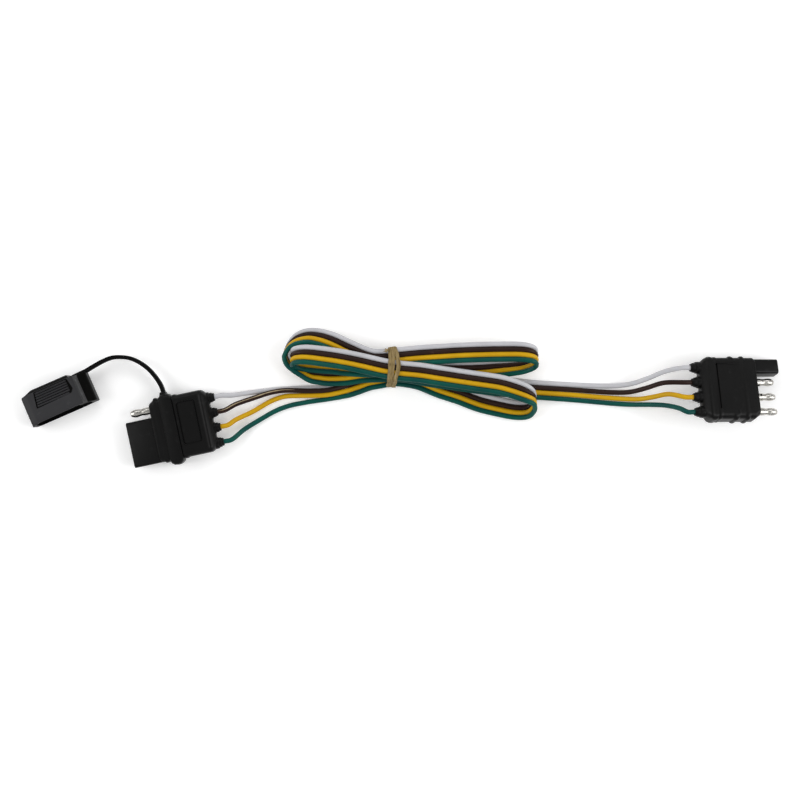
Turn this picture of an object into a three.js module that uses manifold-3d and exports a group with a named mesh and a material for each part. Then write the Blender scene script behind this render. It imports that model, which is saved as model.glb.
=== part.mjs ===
// Four-way flat trailer wiring harness: a socket connector with a tethered dust cap, a plug connector,
// and the four bonded wires between them, wound into a tied hank. Millimetres, +Z up.
import * as THREE from "three";
import { mergeVertices } from "three/addons/utils/BufferGeometryUtils.js";
import Module from "manifold-3d";

const wasm = await Module();
wasm.setup();

// ---------------------------------------------------------------- driving dimensions
const PITCH = 9.5; // contact to contact, three eighths of an inch
const ROWS = { white: 1.5, brown: 0.5, yellow: -0.5, green: -1.5 }; // contact rows, in pitches
const GAP = 0.3; // clearance between pieces that touch on the real object
const ROUND = 16; // sides of a pin or a bore

const BODY = { halfWidth: 19.8, halfThick: 6.3, length: 35.6, corner: 2.6 };
const NECK = { from: -6.3, to: -15.1, halfWidth: 18.9, halfThick: 4.9 };
const RIB = { height: 0.7, length: 2 };
const STUB = { tip: -40.7, boreRadius: 1.85 };
const BLOCK = { length: 16.4, low: -9.55, high: 19.05, halfThick: 5.2 };
const SHROUD = { length: 15.6, low: 9.55, high: 18.95, halfThick: 4.6 };
const CARRIER = { rear: -13.6, halfWidth: 17.75, halfThick: 4.0 };
const BULLET = { length: 12.8, radius: 2.4, boreRadius: 2.7 };
const SLEEVE = { radius: 2.95, innerRadius: 2.55, boreRadius: 3.25 };
const BARREL = { rear: -11, radius: 1.95, innerRadius: 1.45 };
// The cap is deepest over the block; beside it, where the strap lies along its back, it steps forward.
const CAP = { halfWidth: 21.5, halfThick: 7, depth: 22, stepDepth: 19.5, hollow: 17.6, corner: 2.4 };
const RING = { from: -6.8, to: -14.5, halfWidth: 22.5, halfThick: 7, innerWidth: 19.2, innerThick: 5.2 };
const STRAP = { thick: 2.2, low: 4.5, high: 9.5 };
const WIRE = { radius: 1.35, leadRadius: 1.5, sides: 8, steps: 10 };
const HANK = { height: 20, tieHeight: 17.2 };
const TIE = { from: -8.8, to: 0, low: 6.6, high: 32.6, height: 19, wall: 1.5, corner: 5 };

// The whole is laid out about the middle of the harness, then moved by this to its own origin.
const TO_ORIGIN = new THREE.Vector3(-0.8, 7.3, 0);
const MID_HEIGHT = 7; // the socket connector and its cap share this mid-plane

// ---------------------------------------------------------------- helpers
const radians = THREE.MathUtils.degToRad;

function solidOf(geometry) {
  geometry.deleteAttribute("normal");
  geometry.deleteAttribute("uv");
  const merged = mergeVertices(geometry, 1e-4);
  const corners = merged.index.array;
  const triangles = [];
  for (let i = 0; i < corners.length; i += 3) {
    const [a, b, c] = [corners[i], corners[i + 1], corners[i + 2]];
    if (a !== b && b !== c && c !== a) triangles.push(a, b, c);
  }
  return new wasm.Manifold(new wasm.Mesh({
    numProp: 3,
    vertProperties: new Float32Array(merged.attributes.position.array),
    triVerts: new Uint32Array(triangles),
  }));
}

function meshOf(name, solid, finish) {
  const { vertProperties, triVerts } = solid.getMesh();
  const geometry = new THREE.BufferGeometry();
  geometry.setAttribute("position", new THREE.BufferAttribute(vertProperties, 3));
  geometry.setIndex(new THREE.BufferAttribute(triVerts, 1));
  geometry.computeVertexNormals();
  const mesh = new THREE.Mesh(geometry, new THREE.MeshStandardMaterial(finish));
  mesh.name = name;
  return mesh;
}

function extrude(shape, depth, curveSegments = 3) {
  return new THREE.ExtrudeGeometry(shape, { depth, bevelEnabled: false, curveSegments });
}

// A section drawn in (y, z), swept from x = low to x = high.
function sweepX(shape, low, high) {
  const turn = new THREE.Matrix4().makeBasis(
    new THREE.Vector3(0, 1, 0), new THREE.Vector3(0, 0, 1), new THREE.Vector3(1, 0, 0));
  return solidOf(extrude(shape, high - low).applyMatrix4(turn).translate(low, 0, 0));
}

// A side view drawn in (x, z), swept from y = -half to y = half.
function sweepY(shape, half) {
  const turn = new THREE.Matrix4().makeBasis(
    new THREE.Vector3(1, 0, 0), new THREE.Vector3(0, 0, 1), new THREE.Vector3(0, -1, 0));
  return solidOf(extrude(shape, 2 * half).applyMatrix4(turn).translate(0, half, 0));
}

// A plan drawn in (x, y), swept from z = low to z = high.
function sweepZ(shape, low, high) {
  return solidOf(extrude(shape, high - low).translate(0, 0, low));
}

function roundedRectangle(left, right, bottom, top, radius) {
  const shape = new THREE.Shape();
  shape.moveTo(left + radius, bottom);
  shape.lineTo(right - radius, bottom);
  shape.absarc(right - radius, bottom + radius, radius, -Math.PI / 2, 0);
  shape.absarc(right - radius, top - radius, radius, 0, Math.PI / 2);
  shape.absarc(left + radius, top - radius, radius, Math.PI / 2, Math.PI);
  shape.absarc(left + radius, bottom + radius, radius, Math.PI, 1.5 * Math.PI);
  return shape;
}

function box(x0, x1, y0, y1, z0, z1) {
  const geometry = new THREE.BoxGeometry(x1 - x0, y1 - y0, z1 - z0);
  return solidOf(geometry.translate((x0 + x1) / 2, (y0 + y1) / 2, (z0 + z1) / 2));
}

// A turned piece about the X axis through (y, 0); the profile lists [x, radius] with x rising.
function turned(profile, y) {
  const points = profile.map(([x, radius]) => new THREE.Vector2(radius, x));
  const geometry = new THREE.LatheGeometry(points, ROUND);
  return solidOf(geometry.rotateZ(-Math.PI / 2).translate(0, y, 0));
}

function rod(radius, x0, x1, y) {
  return turned([[x0, 0], [x0, radius], [x1, radius], [x1, 0]], y);
}

const PVC = { color: 0x1b1b1b, roughness: 0.42, metalness: 0 };
const CARRIER_PLASTIC = { color: 0x242424, roughness: 0.55, metalness: 0 };
const CAP_RUBBER = { color: 0x2c2c2e, roughness: 0.6, metalness: 0 };
const NICKEL = { color: 0xc9c9c6, roughness: 0.25, metalness: 1 };
const COPPER = { color: 0xb87345, roughness: 0.35, metalness: 1 };
const RAFFIA = { color: 0xaa9673, roughness: 0.9, metalness: 0 };
const HANK_BLEND = { color: 0x8b8b62, roughness: 0.5, metalness: 0 };
const INSULATION = {
  white: { color: 0xd0d0d6, roughness: 0.45, metalness: 0 },
  brown: { color: 0x48322d, roughness: 0.45, metalness: 0 },
  yellow: { color: 0xcda021, roughness: 0.45, metalness: 0 },
  green: { color: 0x196455, roughness: 0.45, metalness: 0 },
};

// ---------------------------------------------------------------- connector pieces
// Both connectors use one frame: +X is the mating direction, X = 0 is the front face of the moulded body,
// and the contact rows are spaced along Y.

// The moulded body that both connectors share: rounded section, shaped plan, thinned rear, four stubs.
function mouldedBody(ribStarts) {
  const { halfWidth, halfThick, length, corner } = BODY;
  const section = roundedRectangle(-halfWidth, halfWidth, -halfThick, halfThick, corner);
  const plan = new THREE.Shape();
  plan.moveTo(0, -17.3);
  plan.lineTo(0, halfWidth - 1.2);
  plan.lineTo(-1.2, halfWidth + 1);
  plan.lineTo(5 - length, halfWidth + 1);
  plan.quadraticCurveTo(-length + 0.6, halfWidth - 0.4, -length, halfWidth - 4);
  plan.lineTo(-length, 4 - halfWidth);
  plan.quadraticCurveTo(-length + 0.6, 0.4 - halfWidth, 5 - length, -halfWidth - 1);
  plan.lineTo(-4.2, -halfWidth - 1);
  plan.lineTo(-3.4, -halfWidth);
  const side = new THREE.Shape();
  side.moveTo(0, -halfThick - 1);
  side.lineTo(0, halfThick + 1);
  side.lineTo(-29, halfThick + 1);
  side.lineTo(-30.5, halfThick - 0.4);
  side.quadraticCurveTo(-length + 0.4, halfThick - 0.8, -length, halfThick - 2.2);
  side.lineTo(-length, 2.2 - halfThick);
  side.quadraticCurveTo(-length + 0.4, 0.8 - halfThick, -30.5, 0.4 - halfThick);
  side.lineTo(-29, -halfThick - 1);
  const outer = halfWidth + RIB.height;
  const thick = halfThick + RIB.height / 2;
  const ribSection = roundedRectangle(-outer, outer, -thick, thick, corner + 0.5);
  let body = sweepX(section, -length, 0);
  for (const start of ribStarts) body = body.add(sweepX(ribSection, start, start + RIB.length));
  body = body.intersect(sweepZ(plan, -10, 10)).intersect(sweepY(side, 25));
  const stub = [[STUB.tip, 0], [STUB.tip, 2.4], [-39.3, 2.6], [-39.3, 3], [-37.5, 3.1], [-37.5, 3.6],
    [-34.6, 3.8], [-34.6, 0]];
  for (const row of Object.values(ROWS)) body = body.add(turned(stub, row * PITCH));
  for (const face of [1, -1]) {
    const panel = box(-29.3, -17.6, -14.8, 14.8, halfThick - 0.35, halfThick + 1);
    body = body.subtract(face > 0 ? panel : panel.mirror([0, 0, 1]));
  }
  return body;
}

function wireBores() {
  const bores = Object.values(ROWS).map((row) =>
    rod(STUB.boreRadius, STUB.tip - 1, CARRIER.rear, row * PITCH));
  return bores.reduce((all, bore) => all.add(bore));
}

// The hard carrier that holds the contacts; grown by a clearance it is the pocket it sits in.
function carrier(front, block, grow = 0) {
  const half = CARRIER.halfWidth + grow;
  const thick = CARRIER.halfThick + grow;
  let solid = box(CARRIER.rear - grow, front + grow, -half, half, -thick, thick);
  if (block) {
    const nose = roundedRectangle(block.low - grow, block.high + grow, -thick, thick, 1 + grow);
    solid = solid.add(sweepX(nose, CARRIER.rear, block.front));
  }
  return solid;
}

function bulletPin(y) {
  const { length, radius } = BULLET;
  return turned([
    [BARREL.rear, BARREL.innerRadius], [-5, BARREL.innerRadius], [-5, 0.8], [-4.6, 0], [length, 0], [length, 1.1],
    [length - 0.6, 1.75], [length - 1.7, 2.2], [length - 3.6, radius + 0.05], [length - 5.4, 2.2],
    [length - 6.9, 1.95], [length - 8.2, 2.15], [length - 9, radius], [-3, radius], [-4, BARREL.radius],
    [BARREL.rear, BARREL.radius], [BARREL.rear, BARREL.innerRadius],
  ].reverse(), y);
}

function sleeve(front, y) {
  const { radius, innerRadius } = SLEEVE;
  return turned([
    [BARREL.rear, BARREL.innerRadius], [BARREL.rear, BARREL.radius], [-3.5, BARREL.radius], [-2, radius],
    [front, radius], [front, innerRadius], [-1.6, innerRadius], [-3.1, BARREL.innerRadius],
    [BARREL.rear, BARREL.innerRadius],
  ], y);
}

function bores(list) {
  return list.map(([radius, x0, x1, y]) => rod(radius, x0, x1, y)).reduce((all, bore) => all.add(bore));
}

// ---------------------------------------------------------------- the socket connector
const socketConnector = new THREE.Group();
socketConnector.position.set(-152.7, -20.4, MID_HEIGHT);
socketConnector.rotation.z = radians(192);

// Facing the plug, the socket's colours run the other way: its rows are the plug's, negated.
const socketRow = (colour) => -ROWS[colour] * PITCH;
const SOCKET_SLEEVES = ["brown", "yellow", "green"];

{
  const sleeveBores = bores(SOCKET_SLEEVES.map((c) => [SLEEVE.boreRadius, -20, 20, socketRow(c)]));
  const pinBore = rod(BULLET.boreRadius, -20, 5, socketRow("white"));
  const inner = { low: BLOCK.low + 1.3, high: BLOCK.high - 1.3, front: BLOCK.length - 0.5 };
  const pocketBlock = { low: inner.low, high: inner.high, front: BLOCK.length + 1 };
  const block = roundedRectangle(BLOCK.low, BLOCK.high, -BLOCK.halfThick, BLOCK.halfThick, 1.8);
  const neckCut = box(NECK.to, NECK.from, -25, 25, -10, 10).subtract(sweepX(
    roundedRectangle(-NECK.halfWidth, NECK.halfWidth, -NECK.halfThick, NECK.halfThick, 2), NECK.to, NECK.from));
  const body = mouldedBody([NECK.from, NECK.to - RIB.length])
    .subtract(neckCut)
    .add(sweepX(block, -3, BLOCK.length))
    .subtract(carrier(-4.3, pocketBlock, GAP))
    .subtract(pinBore)
    .subtract(wireBores());
  socketConnector.add(meshOf("socket_body", body, PVC));

  const insert = carrier(-4.3, inner).subtract(sleeveBores).subtract(pinBore);
  socketConnector.add(meshOf("socket_insert", insert, CARRIER_PLASTIC));

  for (const colour of SOCKET_SLEEVES) {
    const solid = sleeve(BLOCK.length - 1.4, socketRow(colour));
    socketConnector.add(meshOf(`socket_sleeve_${colour}`, solid, NICKEL));
  }
  socketConnector.add(meshOf("socket_pin_white", bulletPin(socketRow("white")), NICKEL));

  const { innerWidth, innerThick } = RING;
  const band = roundedRectangle(-RING.halfWidth, RING.halfWidth, -RING.halfThick, RING.halfThick, 3.2);
  const hole = roundedRectangle(-innerWidth, innerWidth, -innerThick, innerThick, 2.2);
  const ring = sweepX(band, RING.to, RING.from).subtract(sweepX(hole, RING.to - 1, RING.from + 1));
  socketConnector.add(meshOf("neck_ring", ring, CAP_RUBBER));
}

// ---------------------------------------------------------------- the plug connector
// It lies propped on the tip of its shroud: rolled to one side, with its rear end lifted by the wires.
const PLUG_ROLL = 16.5;
const PLUG_PITCH = 10;
const plugConnector = new THREE.Group();
plugConnector.position.set(220.2, 6.3, 12.3);
plugConnector.rotation.set(-radians(PLUG_ROLL), radians(PLUG_PITCH), 0, "ZYX");

const plugRow = (colour) => ROWS[colour] * PITCH;
const PLUG_PINS = ["brown", "yellow", "green"];

{
  const pinBores = bores(PLUG_PINS.map((c) => [BULLET.boreRadius, -20, 5, plugRow(c)]));
  const sleeveBore = rod(SLEEVE.boreRadius, -20, 20, plugRow("white"));
  const shroud = roundedRectangle(SHROUD.low, SHROUD.high, -SHROUD.halfThick, SHROUD.halfThick, 1.6);
  const body = mouldedBody([-9, -16.8])
    .add(sweepX(shroud, -3, SHROUD.length))
    .subtract(carrier(-2, null, GAP))
    .subtract(pinBores)
    .subtract(sleeveBore)
    .subtract(wireBores());
  plugConnector.add(meshOf("plug_body", body, PVC));

  const insert = carrier(-2, null).subtract(pinBores).subtract(sleeveBore);
  plugConnector.add(meshOf("plug_insert", insert, CARRIER_PLASTIC));

  for (const colour of PLUG_PINS) {
    plugConnector.add(meshOf(`plug_pin_${colour}`, bulletPin(plugRow(colour)), NICKEL));
  }
  const solid = sleeve(SHROUD.length - 0.9, plugRow("white"));
  plugConnector.add(meshOf("plug_sleeve_white", solid, NICKEL));
}

// ---------------------------------------------------------------- wire ends inside the connectors
// The bare strands sit in the crimp barrel; behind it the insulated lead runs straight to the stub's mouth.
for (const [name, connector, row] of [["socket", socketConnector, socketRow], ["plug", plugConnector, plugRow]]) {
  for (const colour of Object.keys(ROWS)) {
    const core = rod(1.1, BARREL.rear - 0.2, -5.4, row(colour));
    connector.add(meshOf(`${name}_conductor_${colour}`, core, COPPER));
    const lead = rod(WIRE.leadRadius, STUB.tip, BARREL.rear - 0.5, row(colour));
    connector.add(meshOf(`${name}_lead_${colour}`, lead, INSULATION[colour]));
  }
}

// ---------------------------------------------------------------- dust cap, its strap
// The cap's own frame: +X out of its mouth, X = 0 at the mouth, the contact row along Y.
const dustCap = new THREE.Group();
dustCap.position.set(-208, -8.5, MID_HEIGHT);
dustCap.rotation.z = radians(-66.4);
{
  const { halfWidth, halfThick, depth, stepDepth, hollow, corner } = CAP;
  const section = roundedRectangle(-halfWidth, halfWidth, -halfThick, halfThick, corner);
  const plan = new THREE.Shape();
  plan.moveTo(0, -halfWidth);
  plan.lineTo(0, halfWidth);
  plan.lineTo(1.2 - stepDepth, halfWidth);
  plan.lineTo(-stepDepth, halfWidth - 1.2);
  plan.lineTo(-stepDepth, 12);
  plan.lineTo(-depth, 10.2);
  plan.lineTo(-depth, -14.8);
  plan.lineTo(4.3 - depth, 0.9 - halfWidth);
  plan.lineTo(5.9 - depth, -halfWidth);
  const blockRoom = roundedRectangle(-19.45, 9.95, -5.6, 5.6, 1.6);
  const pinRoom = roundedRectangle(9, 17.3, -3.4, 3.4, 2);
  const cap = sweepX(section, -depth, 0)
    .intersect(sweepZ(plan, -10, 10))
    .subtract(sweepX(blockRoom, -hollow, 1))
    .subtract(sweepX(pinRoom, -hollow, 1));
  dustCap.add(meshOf("dust_cap", cap, CAP_RUBBER));
}

// The strap is a flat band standing on edge: it lies along the cap's back and arches over to the neck ring.
const STRAP_ROUTE = [
  [-203.1, 16.6], [-197.2, 19.2], [-191.5, 21.8], [-185.3, 24.6], [-180, 26.4], [-174.5, 26.8], [-168.5, 26],
  [-162.5, 23.3], [-157, 19.2], [-152.6, 14.2], [-149.4, 9.2], [-147.7, 4.6],
];

function strapSolid() {
  const curve = new THREE.SplineCurve(STRAP_ROUTE.map(([x, y]) => new THREE.Vector2(x, y)));
  const left = [];
  const right = [];
  const steps = 26;
  for (let i = 0; i <= steps; i += 1) {
    const point = curve.getPointAt(i / steps);
    const tangent = curve.getTangentAt(i / steps);
    const across = new THREE.Vector2(-tangent.y, tangent.x).multiplyScalar(STRAP.thick / 2);
    left.push(point.clone().add(across));
    right.unshift(point.clone().sub(across));
  }
  return sweepZ(new THREE.Shape([...left, ...right]), STRAP.low, STRAP.high);
}

// ---------------------------------------------------------------- wires
// Each tail leaves its stub straight and comes down to the surface.
const SOCKET_TAILS = {
  white: [[-106, 2.9, 5.6], [-97.7, 4.1, 3.2], [-88.8, 5.3, 1.8], [-76, 6.7, 1.6], [-64.2, 7.4, 1.6],
    [-54, 7.7, 1.6], [-45, 7.9, 1.6]],
  brown: [[-103.3, -2.9, 5.8], [-92.1, 1.1, 4.8], [-80.9, 4.7, 4.7], [-72.6, 6, 4.6], [-64.2, 5.9, 4.5],
    [-55.8, 5.7, 4.5], [-45, 6.3, 4.4]],
  yellow: [[-103.3, -12.6, 5], [-92.1, -7.1, 2.2], [-80.9, -0.6, 1.6], [-72.6, 2.2, 1.8], [-64.2, 2.7, 2.6],
    [-55, 2.8, 3.1], [-45, 3.4, 3.4]],
  green: [[-97.7, -18.5, 3.4], [-86.5, -11.5, 1.6], [-78.1, -6.8, 1.6], [-69.8, -3.7, 1.6], [-58.6, -1.4, 1.6],
    [-45, 0.6, 1.6]],
};
const PLUG_TAILS = {
  white: [[164, 17.7, 15.6], [154.4, 13.6, 11.6], [144.7, 10.2, 6.6], [134, 8.9, 2.9], [121, 9, 1.7],
    [108.9, 9.6, 1.6], [89, 10.7, 1.6]],
  brown: [[162.9, 10.6, 16.4], [153.4, 7.5, 10.8], [143.9, 5, 5.2], [133, 4.8, 2.1], [121, 5.5, 1.6],
    [108.9, 6.4, 1.6], [89, 7.6, 1.6]],
  yellow: [[166, 3.6, 17.6], [157.5, 1.9, 11.2], [149.9, 0.6, 6.2], [139, 0.8, 2.4], [129, 1.5, 1.6],
    [108.9, 3.2, 1.6], [89, 4.5, 1.6]],
  green: [[172, -5.2, 22.2], [164.8, -3.4, 16.4], [156, -2.9, 9.6], [146, -2.9, 4], [136, -2.4, 1.7],
    [108.9, 0, 1.6], [89, 1.4, 1.6]],
};

const wireSection = new THREE.Shape(Array.from({ length: WIRE.sides }, (_, i) => {
  const angle = (2 * Math.PI * (i + 0.5)) / WIRE.sides;
  return new THREE.Vector2(WIRE.radius * Math.cos(angle), WIRE.radius * Math.sin(angle));
}));

function wireTail(name, connector, y, route, finish) {
  connector.updateMatrix();
  const exit = [STUB.tip - GAP, STUB.tip - 4.5].map((x) =>
    new THREE.Vector3(x, y, 0).applyMatrix4(connector.matrix));
  const points = [...exit, ...route.map(([x, y, z]) => new THREE.Vector3(x, y, z))];
  const curve = new THREE.CatmullRomCurve3(points, false, "centripetal");
  const geometry = new THREE.ExtrudeGeometry(wireSection, { extrudePath: curve, steps: WIRE.steps });
  return meshOf(name, solidOf(geometry), finish);
}

// ---------------------------------------------------------------- the tied hank
// Outline of the wound wires, seen from above: two long loops to each side of the tie.
const HANK_OUTLINE = [
  [-74.2, 28], [-70.8, 20], [-62.5, 13.2], [-44.4, 9.9], [-44.4, -0.6], [-34.4, 1.6], [-8.8, 8.3], [0, 8.6],
  [10, 5.2], [30, -1.4], [56.3, -9.2], [70, -11.4], [79, -11], [85, -6.6], [88.4, 0], [88.4, 26], [85.5, 32],
  [77, 35], [60, 36], [36, 35.4], [18.8, 33.6], [0, 30.6], [-8.8, 30.6], [-17.5, 31.4], [-31.3, 36.9],
  [-43.8, 40.6], [-55, 42], [-65, 39.6], [-72, 34.4],
];

function hankSolid() {
  const outline = new THREE.Shape(HANK_OUTLINE.map(([x, y]) => new THREE.Vector2(x, y)));
  const inset = TIE.wall + GAP;
  const waist = roundedRectangle(TIE.low + inset, TIE.high - inset, inset, HANK.tieHeight, TIE.corner - inset);
  const from = TIE.from - GAP;
  const to = TIE.to + GAP;
  const trim = box(from, to, 0, 40, -1, HANK.height + 1).subtract(sweepX(waist, from - 1, to + 1));
  return sweepZ(outline, 0, HANK.height).subtract(trim);
}

function tieSolid() {
  const { from, to, low, high, height, wall, corner } = TIE;
  const outer = roundedRectangle(low, high, 0, height, corner);
  const inner = roundedRectangle(low + wall, high - wall, wall, height - wall, corner - wall);
  return sweepX(outer, from, to).subtract(sweepX(inner, from - 1, to + 1));
}

// ---------------------------------------------------------------- the whole harness
const harness = new THREE.Group();
harness.position.copy(TO_ORIGIN);
harness.add(socketConnector, plugConnector, dustCap);
harness.add(meshOf("cap_strap", strapSolid(), CAP_RUBBER));
for (const colour of Object.keys(ROWS)) {
  const finish = INSULATION[colour];
  const ends = [
    ["socket", socketConnector, socketRow, SOCKET_TAILS],
    ["plug", plugConnector, plugRow, PLUG_TAILS],
  ];
  for (const [end, connector, row, tails] of ends) {
    harness.add(wireTail(`${end}_wire_${colour}`, connector, row(colour), tails[colour], finish));
  }
}
harness.add(meshOf("wire_hank", hankSolid(), HANK_BLEND));
harness.add(meshOf("hank_tie", tieSolid(), RAFFIA));

export default harness;
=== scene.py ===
"""Looks of a four-way flat trailer wiring harness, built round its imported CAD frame.

Lengths in this script are millimetres until a shape is settled into the frame, which is in metres.
"""

import math
import random

import bmesh
import bpy
from mathutils import Matrix, Vector, geometry, noise


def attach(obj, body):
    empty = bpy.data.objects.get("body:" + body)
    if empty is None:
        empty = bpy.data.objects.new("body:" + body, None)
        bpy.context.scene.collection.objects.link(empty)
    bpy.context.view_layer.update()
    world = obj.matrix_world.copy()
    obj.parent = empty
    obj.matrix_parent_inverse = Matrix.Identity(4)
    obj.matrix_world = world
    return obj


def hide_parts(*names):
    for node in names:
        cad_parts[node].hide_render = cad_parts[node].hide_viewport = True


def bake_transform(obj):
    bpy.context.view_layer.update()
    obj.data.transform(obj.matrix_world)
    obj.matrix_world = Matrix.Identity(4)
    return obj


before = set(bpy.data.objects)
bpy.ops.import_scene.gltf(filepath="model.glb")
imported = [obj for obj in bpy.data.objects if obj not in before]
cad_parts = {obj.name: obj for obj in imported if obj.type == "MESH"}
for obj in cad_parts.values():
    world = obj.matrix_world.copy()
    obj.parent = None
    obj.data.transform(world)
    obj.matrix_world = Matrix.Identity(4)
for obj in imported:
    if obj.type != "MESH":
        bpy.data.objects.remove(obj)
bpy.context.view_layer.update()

MM = 0.001
COLOURS = ("white", "brown", "yellow", "green")
CONTACT_SPACING = 9.5
PLUG_ROW = {colour: CONTACT_SPACING * (1.5 - i) for i, colour in enumerate(COLOURS)}
SOCKET_ROW = {colour: -y for colour, y in PLUG_ROW.items()}

# The harness is laid out about its middle; this moves the layout to the frame's own origin.
TO_FRAME = Matrix.Translation((-0.8 * MM, 7.3 * MM, 0)) @ Matrix.Scale(MM, 4)
# The place of a piece that is drawn straight in the layout.
LAYOUT = Matrix.Identity(4)


def turn(degrees, axis):
    return Matrix.Rotation(math.radians(degrees), 4, axis)


# Each connector's frame: +X is the mating direction, X = 0 its moulded front face, the contacts along Y.
SOCKET = Matrix.Translation((-152.7, -20.4, 7)) @ turn(192, "Z")
PLUG = Matrix.Translation((220.2, 6.3, 12.3)) @ turn(10, "Y") @ turn(-16.5, "X")
# The cap's frame: +X out of its mouth, X = 0 at the mouth.
CAP = Matrix.Translation((-208, -8.5, 7)) @ turn(-66.4, "Z")


# ---------------------------------------------------------------- shape helpers
def rounded(corners, radius, steps=5):
    """A closed outline through these corners, each replaced by an arc; a corner may carry its own radius."""
    outline = []
    count = len(corners)
    for i, corner in enumerate(corners):
        here = Vector(corner[:2])
        before = (Vector(corners[i - 1][:2]) - here).normalized()
        after = (Vector(corners[(i + 1) % count][:2]) - here).normalized()
        r = corner[2] if len(corner) > 2 else radius
        half_angle = max(before.angle(after), 0.05) / 2
        reach = r / math.tan(half_angle)
        centre = here + (before + after).normalized() * (r / math.sin(half_angle))
        start = here + before * reach - centre
        end = here + after * reach - centre
        for k in range(steps + 1):
            share = k / steps
            spoke = start.slerp(end, share).normalized() * r if r > 1e-6 else start
            outline.append(centre + spoke)
    return outline


def box_outline(low, high, half, corner, steps=5):
    corners = [(low, -half), (high, -half), (high, half), (low, half)]
    return rounded(corners, corner, steps)


def ring_x(x, outline):
    """An outline drawn in (y, z), stood at x."""
    return [Vector((x, p[0], p[1])) for p in outline]


def ring_z(z, outline):
    """An outline drawn in (x, y), laid at z."""
    return [Vector((p[0], p[1], z)) for p in outline]


def skin(rings, closed=False):
    """A solid whose surface runs through rings of equal count; closed joins the last ring to the first."""
    shape = bmesh.new()
    rows = [[shape.verts.new(p) for p in ring] for ring in rings]
    count = len(rings[0])
    pairs = list(zip(rows, rows[1:]))
    if closed:
        pairs.append((rows[-1], rows[0]))
    for lower, upper in pairs:
        for i in range(count):
            j = (i + 1) % count
            shape.faces.new((lower[i], lower[j], upper[j], upper[i]))
    if not closed:
        shape.faces.new(rows[0][::-1])
        shape.faces.new(rows[-1])
    bmesh.ops.recalc_face_normals(shape, faces=shape.faces)
    return shape


def turned(profile, y=0, sides=48):
    """A solid turned about the X axis through (y, 0); its profile of [x, radius] starts and ends there."""
    shape = bmesh.new()
    rows = []
    for x, radius in profile:
        if radius < 1e-6:
            rows.append([shape.verts.new((x, y, 0))])
            continue
        angles = [2 * math.pi * k / sides for k in range(sides)]
        rows.append([shape.verts.new((x, y + radius * math.cos(a), radius * math.sin(a))) for a in angles])
    for lower, upper in zip(rows, rows[1:]):
        for i in range(sides):
            j = (i + 1) % sides
            below = [lower[i % len(lower)], lower[j % len(lower)]]
            above = [upper[j % len(upper)], upper[i % len(upper)]]
            # A ring that is a single point gives the same corner twice, so repeats are dropped.
            shape.faces.new(list(dict.fromkeys(below + above)))
    bmesh.ops.recalc_face_normals(shape, faces=shape.faces)
    return shape


def hollow_turned(profile, y=0, sides=48):
    """A turned solid with a hole through it: the profile is a closed loop of [x, radius]."""
    rings = []
    for k in range(sides):
        a = 2 * math.pi * k / sides
        rings.append([Vector((x, y + r * math.cos(a), r * math.sin(a))) for x, r in profile])
    return skin(rings, closed=True)


def rod(radius, x0, x1, y, sides=48):
    return turned([(x0, 0), (x0, radius), (x1, radius), (x1, 0)], y, sides)


def carved(shape, cutters):
    """The shape with the cutters taken out of it."""
    body = thing("carved", [shape])
    tools = [thing("cutter", [cutter]) for cutter in cutters]
    for tool in tools:
        cut = body.modifiers.new("cut", "BOOLEAN")
        cut.operation = "DIFFERENCE"
        cut.solver = "EXACT"
        cut.object = tool
    bpy.context.view_layer.update()
    evaluated = body.evaluated_get(bpy.context.evaluated_depsgraph_get())
    result = bmesh.new()
    result.from_mesh(evaluated.to_mesh())
    evaluated.to_mesh_clear()
    for spare in [body, *tools]:
        bpy.data.meshes.remove(spare.data)
    return result


def thing(name, shapes, place=None, crease=34):
    """One mesh object out of closed shells, smooth except over creases, settled in the frame by place."""
    mesh = bpy.data.meshes.new(name)
    whole = bmesh.new()
    for shape in shapes:
        part = bpy.data.meshes.new("part")
        shape.to_mesh(part)
        shape.free()
        whole.from_mesh(part)
        bpy.data.meshes.remove(part)
    whole.to_mesh(mesh)
    whole.free()
    mesh.shade_smooth()
    mesh.set_sharp_from_angle(angle=math.radians(crease))
    if place is not None:
        mesh.transform(TO_FRAME @ place)
    piece = bpy.data.objects.new(name, mesh)
    bpy.context.scene.collection.objects.link(piece)
    return piece


def finished(piece, material, body="harness", replaces=()):
    piece.data.materials.append(material)
    if body:
        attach(piece, body)
    if replaces:
        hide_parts(*replaces)
    return piece


def spline(points, spacing):
    """Centripetal curve through points of any dimension, sampled about every spacing."""
    ends = [2 * points[0] - points[1], *points, 2 * points[-1] - points[-2]]
    samples = []
    for i in range(1, len(ends) - 2):
        p0, p1, p2, p3 = ends[i - 1 : i + 3]
        knots = [0.0]
        for a, b in ((p0, p1), (p1, p2), (p2, p3)):
            knots.append(knots[-1] + max((b - a).length, 1e-6) ** 0.5)
        t0, t1, t2, t3 = knots
        pieces = max(1, round((p2 - p1).length / spacing))
        for k in range(pieces):
            t = t1 + (t2 - t1) * k / pieces
            a1 = p0 * ((t1 - t) / (t1 - t0)) + p1 * ((t - t0) / (t1 - t0))
            a2 = p1 * ((t2 - t) / (t2 - t1)) + p2 * ((t - t1) / (t2 - t1))
            a3 = p2 * ((t3 - t) / (t3 - t2)) + p3 * ((t - t2) / (t3 - t2))
            b1 = a1 * ((t2 - t) / (t2 - t0)) + a2 * ((t - t0) / (t2 - t0))
            b2 = a2 * ((t3 - t) / (t3 - t1)) + a3 * ((t - t1) / (t3 - t1))
            samples.append(b1 * ((t2 - t) / (t2 - t1)) + b2 * ((t - t1) / (t2 - t1)))
    samples.append(points[-1].copy())
    return samples


def tangents(points):
    last = len(points) - 1
    return [(points[min(i + 1, last)] - points[max(i - 1, 0)]).normalized() for i in range(last + 1)]


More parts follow.
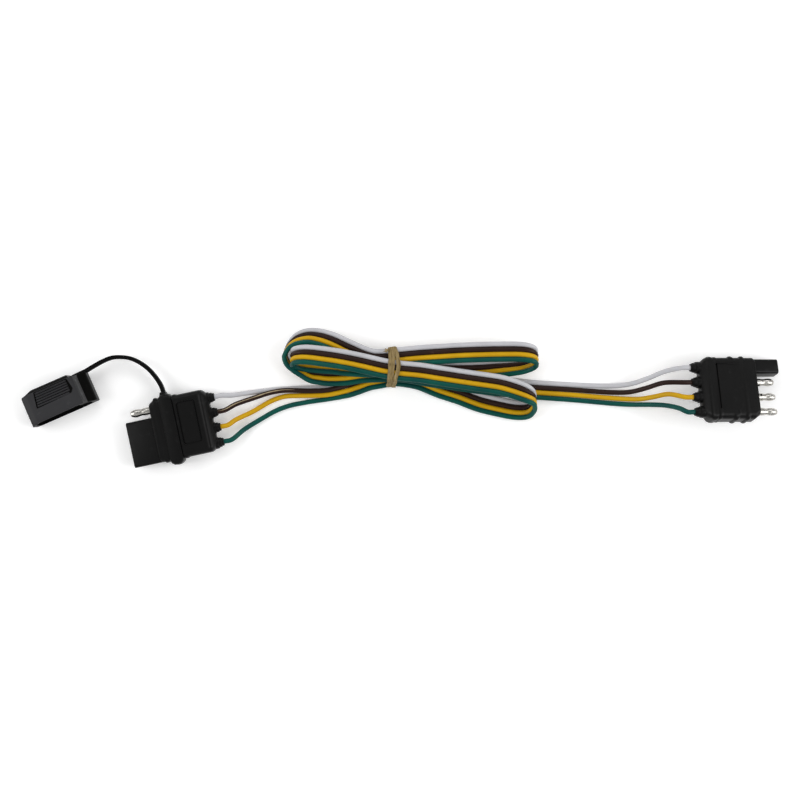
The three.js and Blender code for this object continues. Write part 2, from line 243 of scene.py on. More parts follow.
def tube(points, outline, up=Vector((0, 0, 1)), fixed=False):
    """A solid that carries an outline along points; fixed keeps its second direction nearest to up."""
    rings = []
    across = None
    for point, along in zip(points, tangents(points)):
        if across is None or fixed:
            across = up.cross(along).normalized()
        else:
            across = (across - along * across.dot(along)).normalized()
        over = along.cross(across)
        rings.append([point + across * p[0] + over * p[1] for p in outline])
    return skin(rings)


def circle(radius, sides):
    return [(radius * math.cos(2 * math.pi * k / sides), radius * math.sin(2 * math.pi * k / sides))
            for k in range(sides)]


# ---------------------------------------------------------------- materials
def linear(red, green, blue):
    """Display values of 0 to 255 as the shader's linear colour."""
    def channel(value):
        value /= 255
        return value / 12.92 if value <= 0.04045 else ((value + 0.055) / 1.055) ** 2.4
    return (channel(red), channel(green), channel(blue), 1)


# Where a Mix node keeps its two colours in and its colour out.
MIX_FIRST, MIX_OTHER, MIX_RESULT = 6, 7, 2


def surface(name, base, second, worn, rough, cloud, grain, bump, metallic=0.0, specular=0.5, coat=0.0,
            stretch=(1, 1, 1), wear=0.62):
    """A worked surface: two colours clouded together, a fine grain in gloss and relief, and rubbed places."""
    material = bpy.data.materials.new(name)
    material.use_nodes = True
    nodes = material.node_tree.nodes
    links = material.node_tree.links
    shader = nodes["Principled BSDF"]
    shader.inputs["Metallic"].default_value = metallic
    shader.inputs["Specular IOR Level"].default_value = specular
    shader.inputs["Coat Weight"].default_value = coat
    shader.inputs["Coat Roughness"].default_value = 0.25
    where = nodes.new("ShaderNodeTexCoord")
    mapping = nodes.new("ShaderNodeMapping")
    mapping.inputs["Scale"].default_value = stretch
    links.new(where.outputs["Object"], mapping.inputs["Vector"])

    def noise_at(scale, detail):
        node = nodes.new("ShaderNodeTexNoise")
        node.inputs["Scale"].default_value = scale
        node.inputs["Detail"].default_value = detail
        links.new(mapping.outputs["Vector"], node.inputs["Vector"])
        return node.outputs["Fac"]

    def ramp(source, low, high):
        node = nodes.new("ShaderNodeMapRange")
        node.inputs["From Min"].default_value = low
        node.inputs["From Max"].default_value = high
        links.new(source, node.inputs["Value"])
        return node

    clouds = noise_at(cloud, 3)
    fine = noise_at(grain, 4)
    rubbed = ramp(noise_at(cloud * 6, 6), wear, wear + 0.16)

    def mixed(factor, first, other):
        node = nodes.new("ShaderNodeMix")
        node.data_type = "RGBA"
        links.new(factor, node.inputs["Factor"])
        for socket, value in ((node.inputs[MIX_FIRST], first), (node.inputs[MIX_OTHER], other)):
            if isinstance(value, tuple):
                socket.default_value = value
            else:
                links.new(value, socket)
        return node.outputs[MIX_RESULT]

    colour = mixed(ramp(clouds, 0.35, 0.65).outputs[0], base, second)
    links.new(mixed(rubbed.outputs[0], colour, worn), shader.inputs["Base Color"])
    gloss = ramp(fine, 0.3, 0.7)
    gloss.inputs["To Min"].default_value = rough[0]
    gloss.inputs["To Max"].default_value = rough[1]
    links.new(gloss.outputs[0], shader.inputs["Roughness"])
    relief = nodes.new("ShaderNodeBump")
    relief.inputs["Strength"].default_value = bump
    relief.inputs["Distance"].default_value = 0.0002
    links.new(fine, relief.inputs["Height"])
    links.new(relief.outputs["Normal"], shader.inputs["Normal"])
    return material


PVC = surface("connector_pvc", linear(8, 8, 8), linear(11, 11, 11), linear(24, 24, 24), (0.3, 0.44),
              40, 1800, 0.25, specular=0.15)
CARRIER = surface("carrier_plastic", linear(16, 16, 17), linear(21, 21, 22), linear(40, 40, 40), (0.45, 0.6),
                  60, 2200, 0.2, specular=0.2)
RUBBER = surface("cap_rubber", linear(41, 41, 43), linear(45, 45, 47), linear(56, 56, 58), (0.45, 0.6),
                 45, 2000, 0.35, specular=0.2)
# A smoother, nearly black rubber: used as painted shade inside the mouth, on the grip's floor, the back
# chamfer and the left wall, and as the dark face over the contact's end.
SMOOTH_RUBBER_AND_PAINTED_SHADE = surface("cap_rubber_polished_painted_shade", linear(5, 5, 4), linear(8, 8, 7), linear(18, 18, 17),
                        (0.36, 0.46), 45, 2000, 0.2, specular=0.06)
# A lighter rubber for the step ridge: a painted highlight along the bead.
RIDGE_PAINTED_HIGHLIGHT = surface("cap_rubber_ridge_painted_highlight", linear(60, 60, 61), linear(66, 66, 67), linear(82, 82, 83),
                        (0.45, 0.6), 45, 2000, 0.35, specular=0.2)
TETHER = surface("tether_rubber", linear(8, 8, 8), linear(13, 13, 13), linear(30, 30, 30), (0.4, 0.55),
                 50, 2000, 0.3, specular=0.06)
NICKEL = surface("plated_contact", linear(204, 202, 197), linear(176, 174, 168), linear(100, 94, 82),
                 (0.16, 0.32), 300, 2600, 0.35, metallic=1.0, wear=0.66)
COPPER = surface("copper_strand", linear(196, 122, 78), linear(170, 100, 62), linear(110, 72, 50),
                 (0.25, 0.42), 400, 3000, 0.5, metallic=1.0, stretch=(1, 4, 4))
INSULATION = {
    "white": surface("insulation_white", linear(193, 193, 197), linear(183, 183, 187), linear(160, 160, 164),
                     (0.36, 0.5), 70, 2400, 0.22, specular=0.35, wear=0.68),
    "brown": surface("insulation_brown", linear(44, 27, 22), linear(36, 22, 18), linear(74, 56, 50),
                     (0.34, 0.46), 70, 2400, 0.22, specular=0.16, wear=0.68),
    "yellow": surface("insulation_yellow", linear(204, 158, 10), linear(194, 148, 8), linear(160, 122, 30),
                      (0.36, 0.48), 70, 2400, 0.22, specular=0.2, wear=0.68),
    "green": surface("insulation_green", linear(0, 78, 68), linear(0, 66, 62), linear(34, 96, 88),
                     (0.34, 0.46), 70, 2400, 0.22, specular=0.18, wear=0.68),
}
PALE_FILM = surface("insulation_film", linear(176, 160, 128), linear(150, 134, 104), linear(110, 90, 70),
                    (0.4, 0.6), 90, 2400, 0.4, specular=0.3)
RAFFIA = surface("tie_fibre", linear(158, 138, 98), linear(124, 106, 68), linear(86, 68, 40), (0.75, 0.95),
                 60, 500, 1.0, specular=0.15, stretch=(9, 1, 1), wear=0.52)
# The crimp holes' walls take a painted shadow: a dark colour where the hole's own shade falls.
CRIMP_HOLE_PAINTED_SHADOW = surface("crimp_hole_shadow", linear(20, 19, 17), linear(28, 26, 23), linear(50, 46, 40),
                     (0.5, 0.7), 300, 2600, 0.3, specular=0.1)
FLOOR = surface("studio_floor", linear(250, 250, 250), linear(249, 249, 249), linear(247, 247, 247),
                (0.85, 0.95), 4, 300, 0.02, specular=0.1)
# The floor is a sheet of opal glass lit from below, so only faint shadows show on it.
FLOOR.node_tree.nodes["Principled BSDF"].inputs["Emission Color"].default_value = (1, 1, 1, 1)
FLOOR.node_tree.nodes["Principled BSDF"].inputs["Emission Strength"].default_value = 0.2


# ---------------------------------------------------------------- camera, floor and light
CAMERA_HEIGHT = 0.9
camera_data = bpy.data.cameras.new("camera")
camera_data.sensor_width = 36
camera_data.lens = 64.3
camera = bpy.data.objects.new("camera", camera_data)
camera.location = TO_FRAME @ Vector((0, 0, CAMERA_HEIGHT / MM))
bpy.context.scene.collection.objects.link(camera)
bpy.context.scene.camera = camera
bpy.context.scene.view_settings.view_transform = "Standard"

FLOOR_REACH = 9000
FLOOR_TOP = -0.05
FLOOR_THICK = 11.95
floor_outline = rounded([(-FLOOR_REACH, -FLOOR_REACH), (FLOOR_REACH, -FLOOR_REACH),
                         (FLOOR_REACH, FLOOR_REACH), (-FLOOR_REACH, FLOOR_REACH)], 300)
floor_rings = [ring_z(FLOOR_TOP - FLOOR_THICK, floor_outline), ring_z(FLOOR_TOP, floor_outline)]
floor = thing("floor", [skin(floor_rings)], LAYOUT)
floor.data.materials.append(FLOOR)


def softbox(name, place, size, energy):
    light = bpy.data.lights.new(name, "AREA")
    light.shape = "RECTANGLE"
    light.size, light.size_y = size
    light.energy = energy
    box = bpy.data.objects.new(name, light)
    box.location = place
    box.rotation_mode = "QUATERNION"
    box.rotation_quaternion = Vector(place).to_track_quat("Z", "Y")
    bpy.context.scene.collection.objects.link(box)


softbox("key", (0.0, 1.3, 1.0), (2.2, 0.6), 8)
softbox("fill", (0.0, -1.2, 1.1), (2.0, 0.5), 2.0)
softbox("left", (-1.3, 0.0, 0.9), (0.8, 1.2), 9)
softbox("right", (1.3, -0.1, 0.9), (0.8, 1.2), 11)

sky = bpy.data.worlds.new("studio")
bpy.context.scene.world = sky
sky.use_nodes = True
sky_nodes = sky.node_tree.nodes
sky_links = sky.node_tree.links
direction = sky_nodes.new("ShaderNodeTexCoord")
upness = sky_nodes.new("ShaderNodeSeparateXYZ")
# A light tent: dark at the horizon, bright above, dimmer overhead, and dimmer towards the two long sides.
tent = sky_nodes.new("ShaderNodeValToRGB")
stops = tent.color_ramp.elements
stops[0].position = 0.1
stops[0].color = (0.05, 0.05, 0.05, 1)
stops[1].position = 1.0
stops[1].color = (0.5, 0.5, 0.5, 1)
for place, value in ((0.35, 1.0), (0.62, 1.0), (0.8, 0.55)):
    stops.new(place).color = (value, value, value, 1)
sideways = sky_nodes.new("ShaderNodeMath")
sideways.operation = "ABSOLUTE"
dimming = sky_nodes.new("ShaderNodeMapRange")
dimming.inputs["From Min"].default_value = 0.3
dimming.inputs["From Max"].default_value = 0.85
dimming.inputs["To Min"].default_value = 0.85
dimming.inputs["To Max"].default_value = 0.3
sky_links.new(direction.outputs["Generated"], upness.inputs["Vector"])
sky_links.new(upness.outputs["Z"], tent.inputs["Fac"])
sky_links.new(upness.outputs["Y"], sideways.inputs[0])
sky_links.new(sideways.outputs[0], dimming.inputs["Value"])
sky_links.new(tent.outputs["Color"], sky_nodes["Background"].inputs["Color"])
sky_links.new(dimming.outputs[0], sky_nodes["Background"].inputs["Strength"])


# ---------------------------------------------------------------- the four wires
WIRE_RADIUS = 1.55
WIRE_PITCH = 3.2
STUB_TIP = -40.7

# The middle of the bonded wires through the hank: x, y, height, and how far the ribbon leans, in degrees.
RIBBON = [
    # from the socket to the tie, flat on the floor
    (-33, 7.6, 1.7, 0), (-26, 9.9, 1.7, 0), (-20, 12.1, 1.7, 0), (-11.9, 13.6, 1.8, 0), (-4.4, 15, 2, 0),
    # on to the lower right fold
    (4, 14.2, 2, 0), (12.5, 12.5, 1.8, 0), (25, 7.5, 1.7, 0), (37.5, 3.4, 1.7, 0), (50, -1.3, 1.7, 0),
    (62.5, -4.4, 1.7, 2), (72, -6.2, 1.9, 8), (78.5, -6.3, 2.8, 16), (82.3, -4.6, 5, 30), (84, -1.8, 8.2, 38),
    (83.2, 1, 11.4, 34), (79.8, 3.3, 13.6, 22), (75, 5.4, 14.4, 12),
    # back over everything to the inner left fold
    (68.3, 7.7, 14.5, 4), (62, 9.4, 14.5, 2), (49.6, 11.3, 14.5, 0), (37.2, 13.1, 14.5, 0),
    (24.8, 15, 14.5, 0), (12.4, 16.9, 14.5, 0), (0, 18.1, 14.6, 0), (-4.4, 18.7, 14.6, 0),
    (-11.8, 20, 14.6, 0), (-17.4, 21.3, 14.8, 0), (-28.6, 23.8, 15.5, 0), (-39.6, 25.8, 16.8, 0),
    (-50.7, 27.3, 18.6, 6), (-56.5, 27.9, 19.7, 12), (-61.7, 27.9, 19.3, 20), (-65.4, 27.2, 16.8, 26),
    (-66.8, 26.1, 12.8, 28), (-65.5, 24.8, 9, 30), (-62, 23.5, 6.7, 34),
    # under to the tie
    (-56.5, 22.3, 5.9, 40), (-50, 21.6, 5.9, 42), (-42, 21.4, 6.6, 36), (-34, 21, 7.6, 20),
    (-26, 20.6, 8.2, 8), (-19, 20.4, 8.3, 0), (-4.4, 20.6, 8.3, 0),
    # on to the upper right fold
    (6, 19.8, 8.3, 0), (20, 18.8, 8.1, 2), (37, 18.4, 7.2, 5), (50, 18.8, 5.6, 12), (62, 19.8, 4.9, 25),
    (71, 20.5, 5, 35), (77.6, 21.4, 5.3, 40), (82, 22.9, 7.2, 40), (84.6, 25.2, 10.8, 34),
    (83.8, 27.6, 14.6, 26), (80.3, 29, 16.7, 16),
    # back to the tie and the outer left loop, which stands on edge
    (74.3, 29.8, 17, 8), (62, 29.9, 16, 3), (50, 29.7, 14.5, 0), (37.3, 29.3, 13.2, 0), (25, 28.6, 12.3, 0),
    (12.5, 27.8, 11.7, 0), (0, 26.6, 11.45, 0), (-4.4, 26, 11.45, 0), (-11, 25.5, 11.45, 0),
    (-17.4, 25.7, 11.45, 0), (-23, 27.4, 11.4, 0), (-28.6, 29.9, 11.3, 2), (-34.3, 32.5, 11.1, 5),
    (-39.9, 35.2, 10.8, 10), (-45.4, 37.5, 10.4, 20), (-51.1, 39.1, 9.8, 30), (-56.8, 39.8, 9, 38),
    (-62.3, 38.8, 8.2, 46), (-67, 36.2, 7.4, 58), (-70.4, 32, 6.7, 70), (-71.9, 27.2, 6.4, 75),
    (-70.6, 23.8, 6.4, 73), (-66.6, 20.6, 6.4, 66), (-61.2, 17.9, 6.2, 55), (-55.7, 15.8, 5.8, 38),
    # last pass under the tie and away to the plug
    (-50, 15.3, 5.4, 20), (-45, 14.9, 5.1, 10), (-34, 15.3, 5.1, 2), (-23, 16.9, 5.1, 0), (-12, 17.4, 5.1, 0),
    (-4.4, 17.5, 5.15, 0), (4, 17, 5.1, 0), (12, 15.6, 5, 0), (19, 14.4, 4.9, 0), (30, 12.8, 4.9, 0),
    (40, 11.4, 4.5, 0), (50, 10, 3.4, 0), (60, 8.8, 2.1, 0), (68, 8, 1.7, 0), (78, 6.9, 1.65, 0),
]

# Where each wire runs on its own between its stub and the bonded stretch.
SOCKET_TAILS = {
    "white": [(-106, 2.9, 5.6), (-97.7, 4.1, 3.2), (-88.8, 5.3, 1.8), (-76, 6.7, 1.6), (-64.2, 7.4, 1.6),
              (-54, 7.7, 1.6), (-45, 7.9, 1.6)],
    "brown": [(-103.3, -2.9, 5.8), (-92.1, 1.1, 4.8), (-80.9, 4.7, 4.7), (-72.6, 6, 4.6), (-64.2, 5.9, 4.5),
              (-55.8, 5.7, 4.5), (-45, 6.3, 4.4)],
    "yellow": [(-103.3, -12.6, 5), (-92.1, -7.1, 2.2), (-80.9, -0.6, 1.6), (-72.6, 2.2, 1.8),
               (-64.2, 2.7, 2.6), (-55, 2.8, 3.1), (-45, 3.4, 3.4)],
    "green": [(-97.7, -18.5, 3.4), (-86.5, -11.5, 1.6), (-78.1, -6.8, 1.6), (-69.8, -3.7, 1.6),
              (-58.6, -1.4, 1.6), (-45, 0.6, 1.6)],
}
PLUG_TAILS = {
    "white": [(164, 17.7, 15.6), (154.4, 13.6, 11.6), (144.7, 10.2, 6.6), (134, 8.9, 2.9), (121, 9, 1.7),
              (108.9, 9.6, 1.6), (89, 10.7, 1.6)],
    "brown": [(162.9, 10.6, 16.4), (153.4, 7.5, 10.8), (143.9, 5, 5.2), (133, 4.8, 2.1), (121, 5.5, 1.6),
              (108.9, 6.4, 1.6), (89, 7.6, 1.6)],
    "yellow": [(166, 3.6, 17.6), (157.5, 1.9, 11.2), (149.9, 0.6, 6.2), (139, 0.8, 2.4), (129, 1.5, 1.6),
               (108.9, 3.2, 1.6), (89, 4.5, 1.6)],
    "green": [(172, -5.2, 22.2), (164.8, -3.4, 16.4), (156, -2.9, 9.6), (146, -2.9, 4), (136, -2.4, 1.7),
              (108.9, 0, 1.6), (89, 1.4, 1.6)],
}


def ribbon_lines():
    """The four wires' lines along the bonded stretch, side by side across the leaning ribbon."""
    middle = spline([Vector(point) for point in RIBBON], 4)
    places = [Vector(point[:3]) for point in middle]
    lines = {colour: [] for colour in COLOURS}
    for point, along, lean in zip(places, tangents(places), (point[3] for point in middle)):
        lean = math.radians(lean)
        across = Vector((0, -math.cos(lean), math.sin(lean)))
        across = (across - along * across.dot(along)).normalized()
        for i, colour in enumerate(COLOURS):
            lines[colour].append(point + across * ((i - 1.5) * WIRE_PITCH))
    return lines


def stub_line(connector, y):
    return [connector @ Vector((x, y, 0)) for x in (STUB_TIP + 14, STUB_TIP - 0.3, STUB_TIP - 4.5)]


def wire_lines():
    bonded = ribbon_lines()
    lines = {}
    for colour in COLOURS:
        start = stub_line(SOCKET, SOCKET_ROW[colour]) + [Vector(p) for p in SOCKET_TAILS[colour]]
        end = stub_line(PLUG, PLUG_ROW[colour]) + [Vector(p) for p in PLUG_TAILS[colour]]
        lines[colour] = spline(start + bonded[colour] + end[::-1], 1.6)
    return lines


WIRE_LINES = wire_lines()
SHARED_HANK = ["wire_hank"]
for colour in COLOURS:
    line = WIRE_LINES[colour]
    wire = thing(f"wire_{colour}", [tube(line, circle(WIRE_RADIUS, 20))], LAYOUT, crease=60)
    own_nodes = [f"{end}_{kind}_{colour}" for end in ("socket", "plug") for kind in ("lead", "wire")]
    finished(wire, INSULATION[colour], replaces=own_nodes + SHARED_HANK)


def bond_webs():
    """The thin skins of insulation that bond each wire to its neighbour."""
    bonded = ribbon_lines()
    for first, second, shade in (("white", "brown", "brown"), ("brown", "yellow", "brown"),
                                 ("yellow", "green", "green")):
        middle = [(a + b) / 2 for a, b in zip(bonded[first], bonded[second])]
        sides = [(b - a).normalized() for a, b in zip(bonded[first], bonded[second])]
        rings = []
        for point, side, along in zip(middle, sides, tangents(middle)):
            over = along.cross(side).normalized()
            corners = ((-0.5, -0.3), (0.5, -0.3), (0.5, 0.3), (-0.5, 0.3))
            rings.append([point + side * s + over * o for s, o in corners])
        web = thing(f"web_{first}_{second}", [skin(rings)], LAYOUT)
        finished(web, INSULATION[shade])


def torn_film(name, colour, start, end, angle, wide, material):
    """A strip of a neighbour's insulation left on a wire where the bonded wires were pulled apart."""
    line = WIRE_LINES[colour][start:end]
    a = math.radians(angle)
    rings = []
    last = len(line) - 1
    for i, (point, along) in enumerate(zip(line, tangents(line))):
        side = Vector((0, 0, 1)).cross(along).normalized()
        over = along.cross(side)
        out = side * math.cos(a) + over * math.sin(a)
        across = along.cross(out)
        ragged = 0.75 + 0.5 * noise.noise(Vector((i * 0.45, angle, 0.3)))
        half = wide / 2 * ragged * min(1, i / 4, (last - i) / 4) + 0.02
        corners = ((-half, -0.2), (half, -0.2), (half * 0.5, 0.13), (-half * 0.5, 0.13))
        rings.append([point + across * s + out * (WIRE_RADIUS + o) for s, o in corners])
    film = thing(name, [skin(rings)], LAYOUT)
    finished(film, material)


bond_webs()
torn_film("film_on_brown", "brown", 9, 40, 75, 0.9, PALE_FILM)
torn_film("film_on_white", "white", 8, 48, -25, 0.7, INSULATION["brown"])


# ---------------------------------------------------------------- the moulded bodies
BODY_HALF_THICK = 6.3
BODY_HALF_WIDTH = 19.8
# Where a cutter for a face has its open end, clear of the body.
CLEAR = 9


def bump(x, centre, width, height):
    """Height of a rounded rib at x."""
    t = 2 * (x - centre) / width
    return height * math.sqrt(1 - t * t) if abs(t) < 1 else 0.0


def eased(x, start, end):
    """0 at start to 1 at end."""
    return min(1.0, max(0.0, (x - start) / (end - start)))


def body_half_thick(x, rear):
    """Half thickness: a raised crest in front of the shoulder, then a rounded fall to the rear face."""
    fall = eased(x, rear + 3.8, rear)
    crest = 0.35 * (0.5 + 0.5 * math.cos(math.pi * min(1, abs(x - rear - 4.0) / 1.8)))
    return BODY_HALF_THICK - 0.5 * eased(x, -0.5, 0) ** 2 + crest - 3.4 * fall ** 1.7


def body_half_width(x, rear):
    return BODY_HALF_WIDTH - 4 * eased(x, rear + 4.8, rear) ** 2


def body_shell(side_ribs, top_ribs, rear, neck=None, shift=0.0):
    """The overmould: rounded slab, cut front corner, thinned rear, ribs round its long edges."""
    stops = {0.0, -0.12, -0.5, -3.3, -3.6, rear, rear + 0.3}
    stops.update(-0.45 * k for k in range(79))
    if neck:
        stops.update((neck[0], neck[0] - 0.01, neck[1], neck[1] + 0.01))
    rings = []
    for x in sorted(stops, reverse=True):
        if x < rear:
            continue
        half = body_half_thick(x, rear) + sum(bump(x, *rib) for rib in top_ribs)
        wide = body_half_width(x, rear) + sum(bump(x, *rib) for rib in side_ribs)
        low = -wide + 2.5 * eased(x, -3.4, 0) + shift
        high = wide - 1.2 * eased(x, -1.2, 0) + shift
        corner = min(3.4, half - 0.4)
        if neck and neck[1] < x < neck[0]:
            low, high, half, corner = -18.9, 18.9, 4.9, 2
        rings.append(ring_x(x, box_outline(low, high, half, corner, 8)))
    return skin(rings)


def panel_cutter(x0, x1, y0, y1, depth, face=1, corner=0.8):
    """A shallow pocket with sloping sides, for the top face or the underside."""
    def outline(grow):
        return rounded([(x0 - grow, y0 - grow), (x1 + grow, y0 - grow), (x1 + grow, y1 + grow),
                        (x0 - grow, y1 + grow)], corner + grow, 4)
    levels = ((BODY_HALF_THICK - depth, 0), (BODY_HALF_THICK + 0.4, 0.5), (CLEAR, 0.6))
    return skin([ring_z(face * level, outline(grow)) for level, grow in levels])


def wedge_cutter(x0, x1, y0, y1, depth, face=1):
    """A pocket that is deepest along x0 and runs out to nothing at x1."""
    outline = rounded([(x0, y0), (x1, y0), (x1, y1), (x0, y1)], 1.0, 4)
    bottom = [Vector((p[0], p[1], face * (6.34 - depth * (x1 - p[0]) / (x1 - x0)))) for p in outline]
    return skin([bottom, ring_z(face * CLEAR, outline)])


def frame_groove(x0, x1, y0, y1, wide, depth, face=1):
    """A cutter for the groove that outlines a panel on the top face or the underside."""
    grown = [rounded([(x0 - g, y0 - g), (x1 + g, y0 - g), (x1 + g, y1 + g), (x0 - g, y1 + g)], 1.2 + g, 4)
             for g in (wide / 2, -wide / 2)]
    outer, inner = grown
    floor_level, above = face * (BODY_HALF_THICK - depth), face * CLEAR
    return skin([ring_z(floor_level, outer), ring_z(above, outer), ring_z(above, inner),
                 ring_z(floor_level, inner)], closed=True)


def stub_shell(y):
    """A stepped, tapering strain relief with the wire's bore in its tip."""
    return turned([
        (-34, 0), (-34, 3.8), (-35.9, 3.75), (-36.9, 3.68), (-37.35, 3.6), (-37.5, 3.4), (-37.55, 3.1),
        (-38.6, 3.06), (-39.15, 3.0), (-39.3, 2.85), (-39.34, 2.62), (-40.3, 2.5), (-40.62, 2.38),
        (STUB_TIP, 2.2), (STUB_TIP, 1.72), (-40.5, 1.6), (-38, 1.58), (-38, 0),
    ], y)


def bullet_shell(y):
    """A bullet contact: shank, waist, bulb and a coned tip with a dimple."""
    return turned([
        (-4, 0), (-4, 2.4), (3.6, 2.4), (4.1, 2.37), (4.7, 2.26), (5.3, 2.15), (6.0, 2.1), (6.7, 2.15),
        (7.4, 2.3), (8.2, 2.44), (9.2, 2.5), (10, 2.47), (10.7, 2.38), (11.2, 2.25), (11.5, 2.08),
        (12.0, 1.95), (12.4, 1.78), (12.66, 1.5), (12.78, 1.2), (12.8, 0.9), (12.6, 0.6), (12.5, 0),
    ], y)


def hole_tool(x, y, angle, radius):
    """A drill for a crimp hole: it points at the contact from an angle round its axis."""
    a = math.radians(angle)
    out = Vector((0, math.cos(a), math.sin(a)))
    side = Vector((1, 0, 0))
    over = out.cross(side)
    centre = Vector((x, y, 0))
    rings = []
    for reach in (1.0, 4):
        rings.append([centre + out * reach + side * c + over * s for c, s in circle(radius, 20)])
    return skin(rings)


def sleeve_shell(front, y):
    return hollow_turned([(-3, 2.95), (front - 0.15, 2.95), (front, 2.85), (front, 2.65),
                          (front - 0.15, 2.55), (-3, 2.55)], y)


def contact(name, place, y, holes=()):
    shape = bullet_shell(y)
    if holes:
        shape = carved(shape, [hole_tool(x, y, angle, radius) for x, angle, radius in holes])
    pin = finished(thing(name, [shape], place), NICKEL, replaces=[name])
    pin.data.materials.append(CRIMP_HOLE_PAINTED_SHADOW)
    to_pin = (TO_FRAME @ place).inverted()
    # Faces inside a crimp hole get the painted shadow colour.
    for face in pin.data.polygons:
        middle = to_pin @ face.center
        if holes and 0.5 < middle.x < 5 and math.hypot(middle.y - y, middle.z) < 1.85:
            face.material_index = 1
    return pin


# The socket connector: block of three sleeves beside one bare contact.
SOCKET_SIDE_RIBS = [(-4.3, 2.8, 0.8), (-16.4, 2.6, 0.6)]
SOCKET_REAR = -36.8
PLUG_REAR = -35.6
BLOCK_LOW = -9.55
BLOCK_HIGH = 19.05
BLOCK_FRONT = 16.4
# How far along and across the panel on each face reaches: x0, x1, y0, y1.
SOCKET_PANEL = (-28.2, -17.2, -15.2, 10.8)


def block_shell():
    """The hollow nose round the three sleeves, drawn as one skin out over its rim and back inside."""
    def at(x, inset, half):
        return ring_x(x, box_outline(BLOCK_LOW + inset, BLOCK_HIGH - inset, half, 1.8 - inset * 0.6, 5))
    return skin([
        at(-3, 0, 5.2), at(16.0, 0, 5.2), at(16.3, 0.1, 5.1), at(BLOCK_FRONT, 0.3, 4.9),
        at(BLOCK_FRONT, 1.1, 4.25), at(16.2, 1.25, 4.1), at(3, 1.3, 4.05),
    ])


def socket_pieces():
    shell = body_shell(SOCKET_SIDE_RIBS, [], SOCKET_REAR, neck=(-6.5, -15.3), shift=-0.6)
    pockets = []
    for face in (1, -1):
        pockets.append(panel_cutter(*SOCKET_PANEL, 0.35, face))
        pockets.append(frame_groove(*SOCKET_PANEL, 0.9, 1.2, face))
    pin_bore = rod(2.7, -6, 5, SOCKET_ROW["white"])
    shells = [carved(shell, pockets + [pin_bore]), block_shell()]
    shells += [stub_shell(SOCKET_ROW[colour]) for colour in COLOURS]
    finished(thing("socket_body", shells, SOCKET), PVC, replaces=["socket_body"])

    sleeves = ("brown", "yellow", "green")
    face = [ring_x(x, box_outline(-8.2, 17.7, 4.0, 0.9, 4)) for x in (-3, 15.6)]
    face.append(ring_x(15.9, box_outline(-7.9, 17.4, 3.7, 0.7, 4)))
    bores = [rod(3.25, 1, 20, SOCKET_ROW[colour]) for colour in sleeves]
    insert = thing("socket_insert", [carved(skin(face), bores)], SOCKET)
    finished(insert, CARRIER, replaces=["socket_insert"])
    for colour in sleeves:
        name = f"socket_sleeve_{colour}"
        tube_piece = thing(name, [sleeve_shell(15.0, SOCKET_ROW[colour])], SOCKET)
        finished(tube_piece, NICKEL, replaces=[name])
    contact("socket_pin_white", SOCKET, SOCKET_ROW["white"])


PLUG_SIDE_RIBS = [(-8.4, 3.0, 0.95), (-15.8, 3.0, 0.95), (-29.4, 3.6, 0.6), (-26.3, 2.2, 0.3)]
PLUG_TOP_RIBS = [(-8.4, 2.0, 0.12), (-14.0, 1.6, 0.14), (-26, 2.4, 0.2)]
PLUG_WEDGE = (-25.6, -9.6, -14.2, 15.4)
PLUG_SLOT = (-26.0, -25.2, -13.4, 15.0)


def plug_pieces():
    shell = body_shell(PLUG_SIDE_RIBS, PLUG_TOP_RIBS, PLUG_REAR)
    pockets = []
    for face in (1, -1):
        pockets.append(wedge_cutter(*PLUG_WEDGE, 0.8, face))
        pockets.append(panel_cutter(*PLUG_SLOT, 1.5, face, corner=0.2))
    bores = [rod(2.7, -6, 5, PLUG_ROW[colour]) for colour in ("brown", "yellow", "green")]
    shroud_rings = []
    for x, inset in ((-3, 0), (15.1, 0), (15.45, 0.12), (15.6, 0.4)):
        outline = box_outline(9.55 + inset, 18.95 - inset, 4.6 - inset, 1.6 - inset * 0.5, 5)
        shroud_rings.append(ring_x(x, outline))
    shroud = carved(skin(shroud_rings), [rod(3.25, 1, 20, PLUG_ROW["white"])])
    shells = [carved(shell, pockets + bores), shroud]
    shells += [stub_shell(PLUG_ROW[colour]) for colour in COLOURS]
    finished(thing("plug_body", shells, PLUG), PVC, replaces=["plug_body"])
    sleeve = thing("plug_sleeve_white", [sleeve_shell(14.7, PLUG_ROW["white"])], PLUG)
    finished(sleeve, NICKEL, replaces=["plug_sleeve_white"])
    contact("plug_pin_brown", PLUG, PLUG_ROW["brown"], [(2.6, 158, 0.85)])
    contact("plug_pin_yellow", PLUG, PLUG_ROW["yellow"], [(3.0, 71, 0.8)])
    contact("plug_pin_green", PLUG, PLUG_ROW["green"])


socket_pieces()
plug_pieces()


# ---------------------------------------------------------------- neck ring, cap and tether
def neck_ring():
    """The rubber loop round the socket's neck, thicker at its long ends, with the tether's root on one."""
    rings = []
    # x, half width and half thickness, from the front to the rear
    outside = ((-6.6, 20.8, 6.4), (-6.7, 21.0, 6.5), (-8.3, 22.2, 6.6), (-11.2, 22.6, 6.7),
               (-12.8, 22.2, 6.7), (-14.3, 20.9, 6.7), (-14.5, 20.6, 6.5))
    for x, wide, half in outside:
        rings.append(ring_x(x, box_outline(-wide, wide, half, 3, 6)))
    for x in (-14.5, -6.6):
        rings.append(ring_x(x, box_outline(-19.2, 19.2, 5.2, 2.2, 6)))
    root = []
    for z, s in ((-3.6, 0.5), (-3.2, 0), (3.2, 0), (3.6, 0.5)):
        corners = [(-11.6 + s, -23.9 + s), (-8 - s, -23.9 + s), (-7.2 - s, -20.5), (-12.4 + s, -20.5)]
        root.append(ring_z(z, rounded(corners, 0.7, 4)))
    ring = thing("neck_ring", [skin(rings, closed=True), skin(root)], SOCKET)
    finished(ring, PVC, replaces=["neck_ring"])


